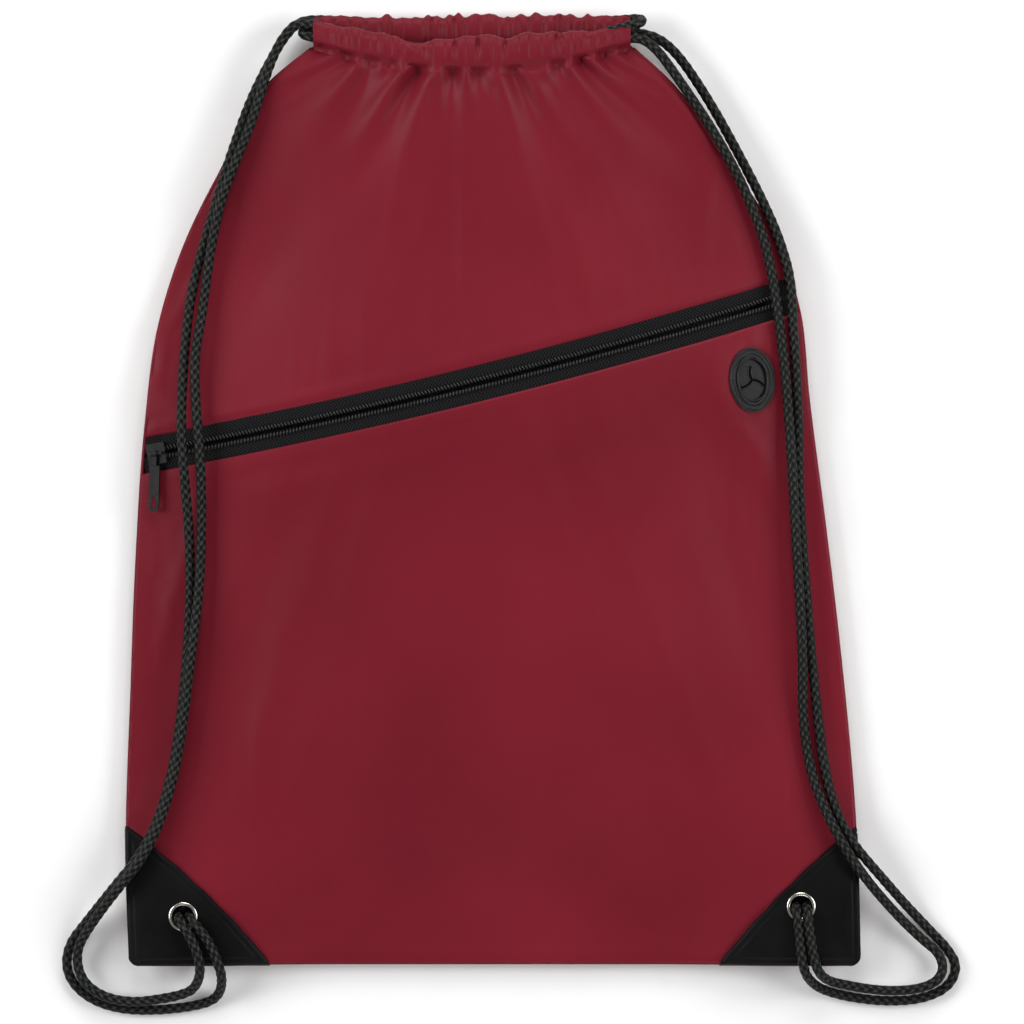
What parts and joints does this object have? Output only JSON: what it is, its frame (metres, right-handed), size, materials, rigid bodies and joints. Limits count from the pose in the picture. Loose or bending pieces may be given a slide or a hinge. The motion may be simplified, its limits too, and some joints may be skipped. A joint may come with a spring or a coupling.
{
  "type": "drawstring backpack",
  "caption": "Drawstring backpack lying on its back, with a slanted zipped front pocket, an earphone cable port, synthetic leather bottom corners and braided cords through eyelets.",
  "frame": {"origin": "middle of the bag's own box, without the cords, at the level of the surface that its back lies on", "axes": "+Z out of the bag's front, +Y from the bottom seam to the mouth, +X to the right of a person looking at the front"},
  "size_m": [0.4192, 0.4673, 0.0293],
  "materials": {
    "shell_fabric": "semi-gloss coated polyester",
    "lining_fabric": "thin woven polyester",
    "vinyl": "smooth semi-gloss synthetic leather",
    "cord_braid": "chunky braid",
    "zipper_tape": "herringbone weave",
    "zipper_coil": "moulded coil teeth",
    "slider_metal": "satin black",
    "port_rubber": "matte moulded rubber",
    "eyelet_metal": "bright warm nickel"
  },
  "bodies": {
    "bag": {"back_panel": "shell_fabric", "front_upper_panel": "shell_fabric", "front_lower_panel": "shell_fabric", "pocket_lining": "lining_fabric", "left_corner_patch": "vinyl", "right_corner_patch": "vinyl", "front_cord_channel": "shell_fabric", "back_cord_channel": "shell_fabric", "upper_zipper_tape": "zipper_tape", "lower_zipper_tape": "zipper_tape", "upper_zipper_coil": "zipper_coil", "lower_zipper_coil": "zipper_coil", "earphone_port": "port_rubber", "left_eyelet": "eyelet_metal", "left_eyelet_washer": "eyelet_metal", "left_knot": "cord_braid", "right_eyelet": "eyelet_metal", "right_eyelet_washer": "eyelet_metal", "right_knot": "cord_braid", "left_drawcord": "cord_braid", "right_drawcord": "cord_braid"},
    "slider": {"zipper_slider": "slider_metal"},
    "pull": {"zipper_pull": "slider_metal"}
  },
  "joints": [
    {"name": "slider_travel", "type": "hinge", "parent": "bag", "child": "slider", "pos_m": [-0.05341, 0.21644, -0.59783], "axis": [-0.231, 0.9354, 0.2676], "range_deg": [0, 24.6]},
    {"name": "pull_flip", "type": "hinge", "parent": "slider", "child": "pull", "pos_m": [-0.15713, 0.01682, 0.01515], "axis": [-0.9763, 0.0392, -0.2128], "range_deg": [0, 150]}
  ]
}
